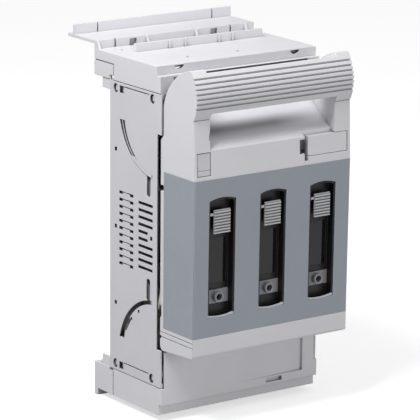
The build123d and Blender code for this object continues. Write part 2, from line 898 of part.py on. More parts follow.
# Top cover: deck, riser wall and raised tray in one moulding
with BuildPart() as top_cover:
    deck_lip_z = deck_z - deck_lip_height
    with BuildSketch(at_x(-width / 2)):
        with BuildLine():
            Polyline(
                (front_wall_y, case_high_z),
                (front_wall_y, deck_lip_z),
                (deck_front_y, deck_lip_z),
                (deck_front_y, deck_z),
                (tray_wall_y, deck_z),
                (tray_wall_y, tray_z),
                (tray_rear_y, tray_z),
                (tray_rear_y, tray_z - tray_thickness),
                (cover_rear_y, tray_z - tray_thickness),
                (cover_rear_y, case_high_z),
                close=True,
            )
        make_face()
    extrude(amount=width)
    block(
        (-inner_half, inner_half),
        (deck_front_y + cover_skin, cover_rear_y - cover_skin),
        (case_high_z - overshoot, deck_z - cover_skin),
        mode=Mode.SUBTRACT,
    )
    # Long vent in the front wall, in the shade of the deck's lip
    block(
        (-vent_half, vent_half),
        (front_wall_y - overshoot, deck_front_y + cover_skin + overlap),
        (vent_low_z, vent_high_z),
        mode=Mode.SUBTRACT,
    )
    block(
        (riser_left_x, riser_right_x),
        (riser_y, riser_y + riser_thickness),
        (deck_z - overlap, tray_z),
    )
    for x in riser_rib_xs:
        block(
            (x - riser_rib / 2, x + riser_rib / 2),
            (riser_y - riser_rib, riser_y),
            (deck_z - overlap, tray_z),
        )
    block((-width / 2, width / 2), (fin_y - fin_thickness / 2, fin_y + fin_thickness / 2), (tray_z, fin_z))
    for x in fin_slit_xs:
        block(
            (x - fin_slit / 2, x + fin_slit / 2),
            (fin_y - fin_thickness, fin_y + fin_thickness),
            (tray_z, fin_z + overshoot),
            mode=Mode.SUBTRACT,
        )
    for x in gusset_xs:
        with BuildSketch(at_x(x - gusset_thickness / 2)):
            with BuildLine():
                Polyline(
                    (tray_wall_y - gusset_run, deck_z - overlap),
                    (tray_wall_y + overlap, deck_z - overlap),
                    (tray_wall_y + overlap, tray_z),
                    (tray_wall_y, tray_z),
                    (tray_wall_y - gusset_run, deck_z),
                    close=True,
                )
            make_face()
        extrude(amount=gusset_thickness)
    for x in tray_slit_xs:
        block(
            (x - tray_slit / 2, x + tray_slit / 2),
            (tray_wall_y - overshoot, tray_wall_y + tray_slit_depth),
            (deck_z, tray_z + overshoot),
            mode=Mode.SUBTRACT,
        )
    for x in tray_pocket_xs:
        block(
            (x - tray_pocket / 2, x + tray_pocket / 2),
            (tray_wall_y - tray_pocket_run, tray_wall_y + tray_pocket_depth),
            (deck_z - cover_skin - overlap, tray_z - tray_pocket_drop),
            mode=Mode.SUBTRACT,
        )
    for side in (-1, 1):
        with BuildSketch(at_y(deck_front_y + cover_skin + overlap)):
            with Locations((side * deck_notch_x, deck_notch_high_z)):
                Ellipse(deck_notch_half, deck_notch_drop)
            with Locations((side * deck_notch_x, deck_notch_high_z + deck_notch_drop)):
                Rectangle(2 * deck_notch_half, 2 * deck_notch_drop, mode=Mode.SUBTRACT)
        extrude(amount=cover_skin + 2 * overlap, mode=Mode.SUBTRACT)
        block(
            sorted((side * (width / 2 - seam_depth), side * (width / 2 + overshoot))),
            (rear_seam_y, rear_seam_y + seam_width),
            (case_high_z - overshoot, side_slit_z),
            mode=Mode.SUBTRACT,
        )
        block(
            sorted((side * (width / 2 - side_slit_depth), side * (width / 2 + overshoot))),
            (rear_seam_y, cover_rear_y + overshoot),
            (side_slit_z, side_slit_z + side_slit_height),
            mode=Mode.SUBTRACT,
        )
        block(
            sorted((side * (inner_half - overlap), side * (width / 2 + overshoot))),
            (rear_seam_y, rear_seam_y + corner_notch_length),
            (case_high_z - overshoot, case_high_z + corner_notch_high),
            mode=Mode.SUBTRACT,
        )
    cover_snaps(case_high_z, -1)
    rear_tongues(case_high_z, -1)
keep(top_cover, "top_cover")

# Contact jaws: two bent leaves on a strip, with a steel clip around the leaves
for pole, (x, hook_z) in enumerate(zip(pole_xs, hook_zs), 1):
    jaw_top_z = upper_jaw_z + jaw_width / 2
    jaw_foot_z = upper_jaw_z - jaw_width / 2
    leg_up = -1 if hook_z > upper_jaw_z else 1
    hook_near_z = hook_z + leg_up * (hook_thickness / 2 + touch_gap)
    upper_strip = sorted((hook_near_z, jaw_foot_z if leg_up < 0 else jaw_top_z))
    lower_strip = (terminal_z - washer_radius - strip_margin, lower_jaw_z + jaw_width / 2)
    for name, jaw_z, strip_y, strip_zs, outward in (
        ("upper", upper_jaw_z, strip_front_y, upper_strip, 1),
        ("lower", lower_jaw_z, shelf_y - strip_thickness, lower_strip, -1),
    ):
        with BuildPart() as contact:
            for side in (-1, 1):
                pinch_x = x + side * (blade_gap + jaw_thickness) / 2
                with BuildSketch(at_z(jaw_z - jaw_width / 2)):
                    with BuildLine():
                        FilletPolyline(
                            (pinch_x + side * jaw_flare, jaw_mouth_y),
                            (pinch_x, jaw_pinch_y - jaw_pinch_length / 2),
                            (pinch_x, jaw_pinch_y + jaw_pinch_length / 2),
                            (pinch_x + side * jaw_bulge, jaw_belly_y),
                            (pinch_x, strip_y - jaw_thickness / 2),
                            (pinch_x + side * jaw_flange, strip_y - jaw_thickness / 2),
                            radius=jaw_bend,
                        )
                    trace(line_width=jaw_thickness)
                extrude(amount=jaw_width)
            block(
                (x - strip_width / 2, x + strip_width / 2),
                (strip_y, strip_y + strip_thickness),
                strip_zs,
            )
            if name == "upper":
                hole_z, hole_radius = hook_z + leg_up * hook_leg / 2, hook_screw_radius
            else:
                hole_z, hole_radius = terminal_z, terminal_radius
            with BuildSketch(at_y(strip_y + strip_thickness)):
                with Locations((x, hole_z)):
                    Circle(hole_radius + pin_seat_gap)
            extrude(amount=strip_thickness, mode=Mode.SUBTRACT)
        keep(contact, f"{name}_contact_{pole}")
        with BuildPart() as spring:
            reach_x = (blade_gap + 2 * jaw_thickness + spring_thickness) / 2
            end_z = jaw_z + outward * (jaw_width / 2 + spring_overhang)
            open_z = jaw_z - outward * jaw_width / 2
            with BuildSketch(at_y(jaw_pinch_y + spring_width / 2)):
                with BuildLine():
                    Polyline(
                        (x - reach_x, open_z),
                        (x - reach_x, end_z),
                        (x + reach_x, end_z),
                        (x + reach_x, open_z),
                    )
                trace(line_width=spring_thickness)
            extrude(amount=spring_width)
        keep(spring, f"{name}_jaw_spring_{pole}")

    # Hook over the busbar, screwed to the strip inside the case
    with BuildPart() as busbar_hook:
        leg_y = strip_front_y - hook_thickness / 2
        far_y = case_rear_y + 2 * touch_gap + busbar_thickness + hook_thickness / 2
        with BuildSketch(at_x(x - hook_width / 2)):
            with BuildLine():
                FilletPolyline(
                    (leg_y, hook_z + leg_up * hook_leg),
                    (leg_y, hook_z),
                    (far_y, hook_z),
                    (far_y, hook_z - hook_drop),
                    radius=hook_bend,
                )
            trace(line_width=hook_thickness)
        extrude(amount=hook_width)
        with BuildSketch(at_y(strip_front_y)):
            with Locations((x, hook_z + leg_up * hook_leg / 2)):
                Circle(hook_screw_radius + pin_seat_gap)
        extrude(amount=hook_thickness, mode=Mode.SUBTRACT)
    keep(busbar_hook, f"busbar_hook_{pole}")

# Screws that hold the hooks to the strips
with BuildPart() as hook_screws:
    for x, hook_z in zip(pole_xs, hook_zs):
        leg_up = -1 if hook_z > upper_jaw_z else 1
        screw_z = hook_z + leg_up * hook_leg / 2
        head_y = strip_front_y - hook_thickness
        with BuildSketch(at_y(head_y)):
            with Locations((x, screw_z)):
                RegularPolygon(hook_head_across / 2, 6, major_radius=False)
        extrude(amount=hook_head_height)
        with BuildSketch(at_y(case_back_y)):
            with Locations((x, screw_z)):
                Circle(hook_screw_radius)
        extrude(amount=case_back_y - head_y)
keep(hook_screws, "hook_screws")

# Terminal screws with their washers
washer_y = shelf_y - strip_thickness
head_y = washer_y - washer_thickness
with BuildPart() as terminal_washers:
    with BuildSketch(at_y(washer_y)):
        with Locations([(x, terminal_z) for x in pole_xs]):
            Circle(washer_radius)
            Circle(terminal_radius + pin_seat_gap, mode=Mode.SUBTRACT)
    extrude(amount=washer_thickness)
keep(terminal_washers, "terminal_washers")

with BuildPart() as terminal_screws:
    with BuildSketch(at_y(head_y)):
        with Locations([(x, terminal_z) for x in pole_xs]):
            RegularPolygon(terminal_head_across / 2, 6, major_radius=False)
    extrude(amount=terminal_head_height)
    with BuildSketch(at_y(shelf_y + shelf_thickness)):
        with Locations([(x, terminal_z) for x in pole_xs]):
            Circle(terminal_radius)
    extrude(amount=shelf_y + shelf_thickness - head_y)
keep(terminal_screws, "terminal_screws")

# Arc chutes: two cheeks and a back of insulating board, with steel plates through them
plate_zs = [
    chute_low_z + chute_height / 2 + (k - (plate_count - 1) / 2) * plate_pitch for k in range(plate_count)
]
for pole, x in enumerate(pole_xs, 1):
    with BuildPart() as arc_chute:
        with BuildSketch(at_z(chute_low_z)):
            with Locations((x, (chute_front_y + case_back_y) / 2)):
                Rectangle(2 * chute_half, case_back_y - chute_front_y)
            with Locations((x, (chute_front_y + chute_back_y) / 2)):
                Rectangle(
                    2 * (chute_half - chute_cheek),
                    chute_back_y - chute_front_y,
                    mode=Mode.SUBTRACT,
                )
            with Locations((x, (chute_back_y + chute_cheek + case_back_y) / 2)):
                Rectangle(
                    2 * (chute_half - chute_cheek),
                    case_back_y - chute_back_y - chute_cheek,
                    mode=Mode.SUBTRACT,
                )
        extrude(amount=chute_height)
        for plate_z in plate_zs:
            block(
                (x - chute_half - overshoot, x + chute_half + overshoot),
                (chute_front_y - overshoot, chute_back_y - plate_gap),
                (plate_z - plate_thickness / 2 - plate_gap, plate_z + plate_thickness / 2 + plate_gap),
                mode=Mode.SUBTRACT,
            )
    keep(arc_chute, f"arc_chute_{pole}")

    with BuildPart() as arc_plates:
        for plate_z in plate_zs:
            with BuildSketch(at_z(plate_z - plate_thickness / 2)):
                plate_back_y = chute_back_y - 2 * plate_gap
                with Locations((x, (chute_front_y + plate_back_y) / 2)):
                    Rectangle(2 * chute_half, plate_back_y - chute_front_y)
                with BuildLine():
                    Polyline(
                        (x - plate_notch_width / 2, chute_front_y - overshoot),
                        (x, chute_front_y + plate_notch_depth),
                        (x + plate_notch_width / 2, chute_front_y - overshoot),
                        close=True,
                    )
                make_face(mode=Mode.SUBTRACT)
            extrude(amount=plate_thickness)
    keep(arc_plates, f"arc_plates_{pole}")

# Lid frame: the light grey moulding with the grip, the band and the bottom lip
lid_inner = lid_half - lid_side_skin
with BuildPart() as lid_frame:
    extrude(lid_outline(-lid_half), amount=lid_width)
    # Hollow behind the face, open towards the case
    with BuildSketch(at_x(-lid_inner)):
        with BuildLine():
            Polyline(
                (lid_rear_y + overshoot, lid_rear_low_z + lid_skin),
                (lid_foot_y + lid_skin, lid_front_low_z + lid_skin),
                (lid_face_y(lid_edge_z + lid_skin) + lid_face, lid_edge_z + lid_skin),
                (lid_face_y(panel_high_z) + lid_face, panel_high_z),
                (lid_face_y(recess_low_z) + lid_face, recess_low_z - 2 * recess_wall),
                (recess_mid_y, recess_mid_z - 2 * recess_wall),
                (recess_back_y + recess_wall, recess_back_z - recess_wall),
                (recess_back_y + recess_wall, cap_start_z - recess_wall),
                (lid_rear_y + overshoot, cap_start_z - recess_wall),
                close=True,
            )
        make_face()
    extrude(amount=2 * lid_inner, mode=Mode.SUBTRACT)
    # Finger recess under the grip
    extrude(recess_outline(-recess_half), amount=2 * recess_half, mode=Mode.SUBTRACT)
    # Top of the grip, which falls away behind its front edge between the end caps
    with BuildSketch(at_x(-bar_top_half)):
        with BuildLine():
            Polyline(
                (grip_y - overshoot, bar_edge_z),
                (bar_edge_y, bar_edge_z),
                (bar_fall_y, bar_fall_z),
                (bar_fall_y, lid_top_z + overshoot),
                (grip_y - overshoot, lid_top_z + overshoot),
                close=True,
            )
        make_face()
    extrude(amount=2 * bar_top_half, mode=Mode.SUBTRACT)
    # Grooves across the grip
    for k in range(groove_count):
        groove_z = groove_high_z - k * groove_pitch
        block(
            (-lid_half - overshoot, lid_half + overshoot),
            (grip_y - overshoot, grip_face_y(groove_z) + groove_depth),
            (groove_z - groove_width / 2, groove_z + groove_width / 2),
            mode=Mode.SUBTRACT,
        )
    # Rebate for the blue-grey panel
    slab((-lid_half, lid_half), (-overshoot, panel_skin), (panel_low_z, panel_high_z), mode=Mode.SUBTRACT)
    for side in (-1, 1):
        block(
            sorted((side * (lid_half - panel_skin), side * (lid_half + overshoot))),
            (grip_y, panel_rear_y),
            (panel_low_z, panel_high_z),
            mode=Mode.SUBTRACT,
        )
    # Seams up the front corners, lines on the foot and the posts, notches in the rear edges
    for side in (-1, 1):
        corner_x = sorted((side * (lid_half - lid_seam), side * (lid_half + overshoot)))
        slab(corner_x, (-overshoot, lid_seam), (lid_edge_z, panel_low_z), mode=Mode.SUBTRACT)
        slab(corner_x, (-overshoot, lid_seam), (panel_high_z, grip_low_z), mode=Mode.SUBTRACT)
        for line_z in foot_line_zs:
            block(
                corner_x,
                (lid_edge_y, lid_rear_y + overshoot),
                (line_z - lid_seam / 2, line_z + lid_seam / 2),
                mode=Mode.SUBTRACT,
            )
        for low_z, high_z, depth in rear_notches:
            block(
                sorted((side * (lid_inner - overlap), side * (lid_half + overshoot))),
                (lid_rear_y - depth, lid_rear_y + overshoot),
                (low_z, high_z),
                mode=Mode.SUBTRACT,
            )
    block(
        (-lid_half - overshoot, lid_half + overshoot),
        (grip_y, post_face_y + lid_seam),
        (grip_low_z - lid_seam / 2, grip_low_z + lid_seam / 2),
        mode=Mode.SUBTRACT,
    )
    # Windows
    for x in pole_xs:
        extrude(window_outline(x, 0.0), amount=panel_y - grip_y, mode=Mode.SUBTRACT)
    # Seat of the lock slide, with the board behind it that its foot runs on
    block(
        (lock_boss_left_x, lid_inner + overlap),
        (lid_face_y(recess_low_z) + lock_depth, lock_back_y),
        (lock_low_z - lock_boss_drop, recess_low_z - recess_wall / 2),
    )
    lock_space_left = lock_left_x - lock_travel - touch_gap
    slab(
        (lock_space_left, lock_right_x + lock_side_gap),
        (-overshoot, lock_depth),
        (lock_low_z - slide_gap, recess_low_z),
        mode=Mode.SUBTRACT,
    )
    slab(
        (lock_space_left, recess_half),
        (-overshoot, lock_depth),
        (recess_low_z - slide_gap, recess_low_z + lock_wrap),
        mode=Mode.SUBTRACT,
    )
    slab(
        (lock_space_left - lock_notch, lock_space_left),
        (-overshoot, lock_notch_depth),
        (lock_low_z + lock_notch_inset, recess_low_z - lock_notch_inset),
        mode=Mode.SUBTRACT,
    )
    slab(
        (lock_space_left, lock_left_x),
        (-overshoot, lock_depth),
        (lock_low_z - lock_slit_drop, lock_low_z),
        mode=Mode.SUBTRACT,
    )
    lock_mid_x = (lock_left_x + lock_right_x) / 2
    lock_mid_z = (lock_low_z + recess_low_z) / 2
    block(
        (
            lock_mid_x - lock_stem_width / 2 - lock_travel - slide_gap,
            lock_mid_x + lock_stem_width / 2 + slide_gap,
        ),
        (grip_y, lock_back_y + overshoot),
        (lock_mid_z - lock_stem_height / 2 - slide_gap, lock_mid_z + lock_stem_height / 2 + slide_gap),
        mode=Mode.SUBTRACT,
    )
    # Seat of the marker plate
    slab(
        (marker_left_x - marker_edge, marker_left_x + marker_width + marker_edge),
        (-overshoot, marker_pocket),
        (marker_low_z - marker_edge, marker_low_z + marker_height + marker_edge),
        mode=Mode.SUBTRACT,
    )
    # Room for the ears, and the inner cheeks that carry the pins
    for side in (-1, 1):
        block(
            sorted((side * (ear_inner_x - ear_side_gap), side * (ear_outer_x + ear_side_gap))),
            (hinge_y - ear_sweep, lid_rear_y + overshoot),
            (lid_rear_low_z - overshoot, lid_rear_low_z + lid_skin + ear_slot_rise),
            mode=Mode.SUBTRACT,
        )
        cheek_x = side * (ear_inner_x - ear_side_gap)
        with BuildSketch(at_x(cheek_x)):
            with Locations((hinge_y, hinge_z)):
                Circle(cheek_radius)
            with Locations((hinge_y - overshoot, (hinge_z + lid_rear_low_z + cheek_lift) / 2)):
                Rectangle(2 * (cheek_radius - overshoot), hinge_z - lid_rear_low_z)
        extrude(amount=-side * cheek_thickness)
        with BuildSketch(at_x(cheek_x - side * cheek_thickness)):
            with Locations((hinge_y, hinge_z)):
                Circle(hinge_pin_radius + pin_seat_gap)
        pin_hole_length = side * (pin_outer_x + pin_hole_end) - (cheek_x - side * cheek_thickness)
        extrude(amount=pin_hole_length, mode=Mode.SUBTRACT)
keep(lid_frame, "lid_frame")

# Lid panel: blue-grey skin with the three windows, folded round both sides
with BuildPart() as lid_panel:
    slab((-lid_half, lid_half), (0.0, panel_skin), (panel_low_z, panel_high_z))
    for side in (-1, 1):
        with BuildSketch(at_x(side * (lid_half - panel_skin))):
            with BuildLine():
                Polyline(
                    (lid_face_y(panel_low_z), panel_low_z),
                    (lid_face_y(panel_high_z), panel_high_z),
                    (panel_rear_y, panel_high_z),
                    (panel_rear_y, panel_low_z),
                    close=True,
                )
            make_face()
        extrude(amount=side * panel_skin)
        slab(
            sorted((side * (lid_half - lid_seam), side * (lid_half + overshoot))),
            (-overshoot, lid_seam),
            (panel_low_z, panel_high_z),
            mode=Mode.SUBTRACT,
        )
    for x in pole_xs:
        extrude(window_outline(x, 0.0), amount=panel_y - grip_y, mode=Mode.SUBTRACT)
keep(lid_panel, "lid_panel")

# Fuse carrier: dark moulding behind the face, with a pocket in each window
floor_near = pocket_depth
floor_far = pocket_depth + carrier_floor
stem_low_z = latch_low_z + latch_stem_rise
with BuildPart() as fuse_carrier:
    slab((-carrier_half, carrier_half), (lid_face, floor_far), (carrier_low_z, carrier_high_z))
    for x in pole_xs:
        extrude(window_outline(x, -sleeve_gap), amount=panel_y - grip_y)
        slab(
            (x - window_width, x + window_width),
            (floor_far, lid_face_reach + overshoot),
            (carrier_low_z, carrier_high_z),
            mode=Mode.SUBTRACT,
        )
    for x in pole_xs:
        extrude(window_outline(x, -sleeve_wall), amount=panel_y - grip_y, mode=Mode.SUBTRACT)
    slab(
        (-carrier_half, carrier_half),
        (-grip_reach, sleeve_setin),
        (carrier_low_z, carrier_high_z),
        mode=Mode.SUBTRACT,
    )
    slab((-carrier_half, carrier_half), (floor_near, floor_far), (carrier_low_z, carrier_high_z))
    for x in pole_xs:
        # Pane seat
        slab(
            (x - pane_width / 2, x + pane_width / 2),
            (floor_near - overshoot, floor_near + pane_thickness),
            (pane_low_z, pane_high_z),
            mode=Mode.SUBTRACT,
        )
        slab(
            (x - pane_width / 2 + pane_rim, x + pane_width / 2 - pane_rim),
            (floor_near, floor_far + overshoot),
            (pane_low_z + pane_rim, pane_high_z - pane_rim),
            mode=Mode.SUBTRACT,
        )
        # Slot for the stem of the latch
        stem_x = x + latch_shift
        slab(
            (stem_x - latch_stem_width / 2 - slide_gap, stem_x + latch_stem_width / 2 + slide_gap),
            (floor_near - overshoot, floor_far + overshoot),
            (stem_low_z - slide_gap, stem_low_z + latch_stem_height + latch_travel + slide_gap),
            mode=Mode.SUBTRACT,
        )
        # Hole behind the probe boss
        with BuildSketch(at_y(panel_y)):
            with Locations((x, bracket_low_z + bracket_height / 2)):
                Circle(probe_back_radius)
        extrude(amount=panel_y - grip_y, mode=Mode.SUBTRACT)
keep(fuse_carrier, "fuse_carrier")

for pole, x in enumerate(pole_xs, 1):
    # Holder that grips the fuse link behind the carrier
    with BuildPart() as fuse_holder:
        for side in (-1, 1):
            cheek_x = (x + side * holder_half, x + side * (holder_half - holder_cheek))
            claw_x = (cheek_x[0], cheek_x[1] - side * holder_claw)
            slab(sorted(cheek_x), (floor_far, floor_far + holder_depth), (holder_low_z, holder_high_z))
            slab(
                sorted(claw_x),
                (floor_far + holder_depth - holder_claw_depth, floor_far + holder_depth),
                (holder_low_z, holder_high_z),
            )
        for strip_z in (holder_low_z, holder_high_z - holder_strip_height):
            slab(
                (x - holder_half, x + holder_half),
                (floor_far, floor_far + holder_strip),
                (strip_z, strip_z + holder_strip_height),
            )
    keep(fuse_holder, f"fuse_holder_{pole}")

    with BuildPart() as window_pane:
        slab(
            (x - pane_width / 2, x + pane_width / 2),
            (floor_near, floor_near + pane_thickness),
            (pane_low_z, pane_high_z),
        )
    keep(window_pane, f"window_pane_{pole}")

    # Ribbed latch: thumb pad, stem through the pocket floor and a foot behind it
    with BuildPart() as fuse_latch:
        latch_mid_x = x + latch_shift
        latch_x = (latch_mid_x - latch_width / 2, latch_mid_x + latch_width / 2)
        latch_z = (latch_low_z, latch_low_z + latch_height)
        slab(latch_x, (latch_setin, latch_setin + latch_pad), latch_z)
        rib_pitch = latch_height / latch_rib_count
        for k in range(latch_rib_count):
            rib_z = latch_low_z + k * rib_pitch
            slab(
                latch_x,
                (latch_setin - latch_rib_depth, latch_setin),
                (rib_z, rib_z + rib_pitch * latch_rib_share),
            )
        slab(
            (latch_mid_x - latch_stem_width / 2, latch_mid_x + latch_stem_width / 2),
            (latch_setin + latch_pad, floor_far + touch_gap),
            (stem_low_z, stem_low_z + latch_stem_height),
        )
        slab(
            (
                latch_mid_x - latch_stem_width / 2 - latch_foot_edge,
                latch_mid_x + latch_stem_width / 2 + latch_foot_edge,
            ),
            (floor_far + touch_gap, floor_far + touch_gap + latch_foot),
            (stem_low_z - latch_foot_edge, stem_low_z + latch_stem_height + latch_foot_edge),
        )
        bar_high_z = latch_low_z + latch_height - latch_bar_drop
        slab(
            (x - window_width / 2 + sleeve_wall + slide_gap, latch_mid_x - latch_width / 2),
            (latch_setin, latch_setin + latch_pad),
            (bar_high_z - latch_bar_height, bar_high_z),
        )
    keep(fuse_latch, f"fuse_latch_{pole}")

    # Probe bracket with its ring boss
    with BuildPart() as probe_bracket:
        bracket_half = window_width / 2 - sleeve_wall - sleeve_gap
        probe_z = bracket_low_z + bracket_height / 2
        slab(
            (x - bracket_half, x + bracket_half),
            (floor_near - bracket_thickness, floor_near),
            (bracket_low_z, bracket_low_z + bracket_height),
        )
        boss_y = lid_face_y(probe_z) + floor_near - bracket_thickness / 2
        with BuildSketch(at_y(boss_y)):
            with Locations((x, probe_z)):
                Circle(probe_radius + probe_wall)
        extrude(amount=floor_near - bracket_thickness / 2 - probe_setin)
        with BuildSketch(at_y(panel_y)):
            with Locations((x, probe_z)):
                Circle(probe_radius)
        extrude(amount=panel_y - grip_y, mode=Mode.SUBTRACT)
    keep(probe_bracket, f"probe_bracket_{pole}")

# Lock slide: flush with the band, wrapping over the edge of the finger recess
with BuildPart() as lock_slide:
    slab((lock_left_x, lock_right_x), (0.0, lock_depth - slide_gap), (lock_low_z, recess_low_z - slide_gap))
    slab(
        (lock_mid_x - lock_stem_width / 2, lock_mid_x + lock_stem_width / 2),
        (lock_depth - 2 * slide_gap, lock_back_y + touch_gap - lid_face_y(lock_mid_z)),
        (lock_mid_z - lock_stem_height / 2, lock_mid_z + lock_stem_height / 2),
    )
    block(
        (
            lock_mid_x - lock_stem_width / 2 - lock_foot_edge,
            lock_mid_x + lock_stem_width / 2 + lock_foot_edge,
        ),
        (lock_back_y + touch_gap, lock_back_y + touch_gap + lock_foot),
        (
            lock_mid_z - lock_stem_height / 2 - lock_foot_edge,
            lock_mid_z + lock_stem_height / 2 + lock_foot_edge,
        ),
    )
keep(lock_slide, "lock_slide")

# Bare marker plate in the left post
with BuildPart() as marker_plate:
    slab(
        (marker_left_x, marker_left_x + marker_width),
        (marker_setin, marker_pocket),
        (marker_low_z, marker_low_z + marker_height),
    )
    slab(
        (marker_left_x, marker_left_x + marker_width),
        (0.0, marker_setin + marker_line / 2),
        (marker_line_z - marker_line / 2, marker_line_z + marker_line / 2),
        mode=Mode.SUBTRACT,
    )
keep(marker_plate, "marker_plate")

# Hinge pins
for side, name in ((-1, "left"), (1, "right")):
    with BuildPart() as hinge_pin:
        pin_start_x = side * (ear_inner_x - ear_side_gap - cheek_thickness)
        with BuildSketch(at_x(pin_start_x)):
            with Locations((hinge_y, hinge_z)):
                Circle(hinge_pin_radius)
        extrude(amount=side * pin_outer_x - pin_start_x)
    keep(hinge_pin, f"hinge_pin_{name}")
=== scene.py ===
# %% [markdown]
# Fuse switch disconnector for three flat busbars.
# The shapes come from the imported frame. This script gives them their finish, adds three
# small marks that the solid model leaves out, and sets up the studio and the camera.

from math import radians

import bmesh
import bpy
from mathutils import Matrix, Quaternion, Vector


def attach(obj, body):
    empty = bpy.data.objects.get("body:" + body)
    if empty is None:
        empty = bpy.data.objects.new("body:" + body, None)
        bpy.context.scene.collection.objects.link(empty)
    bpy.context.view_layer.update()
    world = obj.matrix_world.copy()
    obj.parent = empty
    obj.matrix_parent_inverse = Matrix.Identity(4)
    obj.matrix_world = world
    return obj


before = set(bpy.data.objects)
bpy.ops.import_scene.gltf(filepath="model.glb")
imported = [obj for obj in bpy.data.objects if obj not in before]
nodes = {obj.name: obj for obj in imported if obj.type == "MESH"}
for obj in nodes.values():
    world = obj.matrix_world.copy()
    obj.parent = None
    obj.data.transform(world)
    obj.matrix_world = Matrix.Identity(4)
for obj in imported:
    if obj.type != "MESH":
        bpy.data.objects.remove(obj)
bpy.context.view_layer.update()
scene = bpy.context.scene

# %% [markdown]
# A finish is a small tree of shader nodes, which could also be wired by hand in the
# shader editor. Here each helper adds one node, sets the constants on its own sockets
# and hands back its output, so that a whole finish reads as a few lines. Patterns use
# the object's own coordinates, so they ride along when a piece moves.


# %% Helpers for single nodes
def start_material(name):
    material = bpy.data.materials.new(name)
    material.use_nodes = True
    tree = material.node_tree
    return material, tree, tree.nodes["Principled BSDF"]


def object_place(tree):
    return tree.nodes.new("ShaderNodeTexCoord").outputs["Object"]


def split_axes(tree, vector):
    split = tree.nodes.new("ShaderNodeSeparateXYZ")
    tree.links.new(vector, split.inputs["Vector"])
    return split.outputs


def calculate(tree, operation, first, second=0.0):
    """One Math node, each term a number or the output of another node."""
    node = tree.nodes.new("ShaderNodeMath")
    node.operation = operation
    for socket, term in zip(node.inputs, (first, second)):
        if isinstance(term, float):
            socket.default_value = term
        else:
            tree.links.new(term, socket)
    return node.outputs["Value"]


def remap(tree, value, before, after, curve="LINEAR"):
    """Carry a value from one range to another and hold it at the ends."""
    node = tree.nodes.new("ShaderNodeMapRange")
    node.interpolation_type = curve
    ends = ("From Min", "From Max", "To Min", "To Max")
    for end, number in zip(ends, (*before, *after)):
        node.inputs[end].default_value = number
    tree.links.new(value, node.inputs["Value"])
    return node.outputs["Result"]


def mix_colour(tree, share, first, second):
    mix = tree.nodes.new("ShaderNodeMix")
    mix.data_type = "RGBA"
    tree.links.new(share, mix.inputs["Factor"])
    for socket, value in ((mix.inputs["A"], first), (mix.inputs["B"], second)):
        if isinstance(value, tuple):
            socket.default_value = value
        else:
            tree.links.new(value, socket)
    return mix.outputs["Result"]


def srgb(code):
    """Linear colour from a hex code."""
    channels = [int(code[k : k + 2], 16) / 255 for k in (1, 3, 5)]
    linear = [c / 12.92 if c < 0.04045 else ((c + 0.055) / 1.055) ** 2.4 for c in channels]
    return (*linear, 1.0)


print("node helpers ready")

# %% [markdown]
# The mouldings are glass-filled polyamide and polycarbonate. Up close they show a fine
# spark-eroded grain and an uneven gloss. Both could be modelled or photographed, but a
# procedural noise needs no picture and has no seams. It drives a bump for the grain and
# the roughness for the gloss. Most of a noise lies between 0.3 and 0.7, so that range is
# spread over the values that are wanted.

# %% Noise and grain
noise_range = (0.3, 0.7)


def noise(tree, coordinates, scale, detail):
    texture = tree.nodes.new("ShaderNodeTexNoise")
    texture.inputs["Scale"].default_value = scale
    texture.inputs["Detail"].default_value = detail
    tree.links.new(coordinates, texture.inputs["Vector"])
    return texture.outputs["Fac"]


def spread(tree, value, low, high):
    return remap(tree, value, noise_range, (low, high))


def bump(tree, height, normal, strength, distance):
    node = tree.nodes.new("ShaderNodeBump")
    node.inputs["Strength"].default_value = strength
    node.inputs["Distance"].default_value = distance
    tree.links.new(height, node.inputs["Height"])
    tree.links.new(normal, node.inputs["Normal"])
    return node.outputs["Normal"]


print("noise spread over", noise_range)

# %% [markdown]
# No moulded edge is perfectly sharp: edges catch the light, and narrow slots swallow it.
# A bevel on every solid would change its size and cost many faces. The Bevel node rounds
# the edges in the shading alone, and its normal also tells where the edges are. The
# Ambient Occlusion node tells how much of the sky a point sees within a short reach.

# %% Edges and slots
edge_agreement = (1.0, 0.85)


def soft_edges(tree, radius):
    """Normal of the surface with its edges rounded in the shading."""
    bevel = tree.nodes.new("ShaderNodeBevel")
    bevel.samples = 6
    bevel.inputs["Radius"].default_value = radius
    return bevel.outputs["Normal"]


def edge_highlight_share(tree, rounded):
    """How far the rounded normal leaves the true one: 0 on a flat, 1 on an edge."""
    geometry = tree.nodes.new("ShaderNodeNewGeometry")
    agree = tree.nodes.new("ShaderNodeVectorMath")
    agree.operation = "DOT_PRODUCT"
    tree.links.new(rounded, agree.inputs[0])
    tree.links.new(geometry.outputs["Normal"], agree.inputs[1])
    return remap(tree, agree.outputs["Value"], edge_agreement, (0.0, 1.0))


def open_share(tree, reach, shut, wide, deepest):
    """How open a point lies: 1 on a free wall, deepest at the bottom of a slot."""
    shade = tree.nodes.new("ShaderNodeAmbientOcclusion")
    shade.samples = 8
    shade.inputs["Distance"].default_value = reach
    return remap(tree, shade.outputs["AO"], (shut, wide), (deepest, 1.0))


print("edges and slots ready")
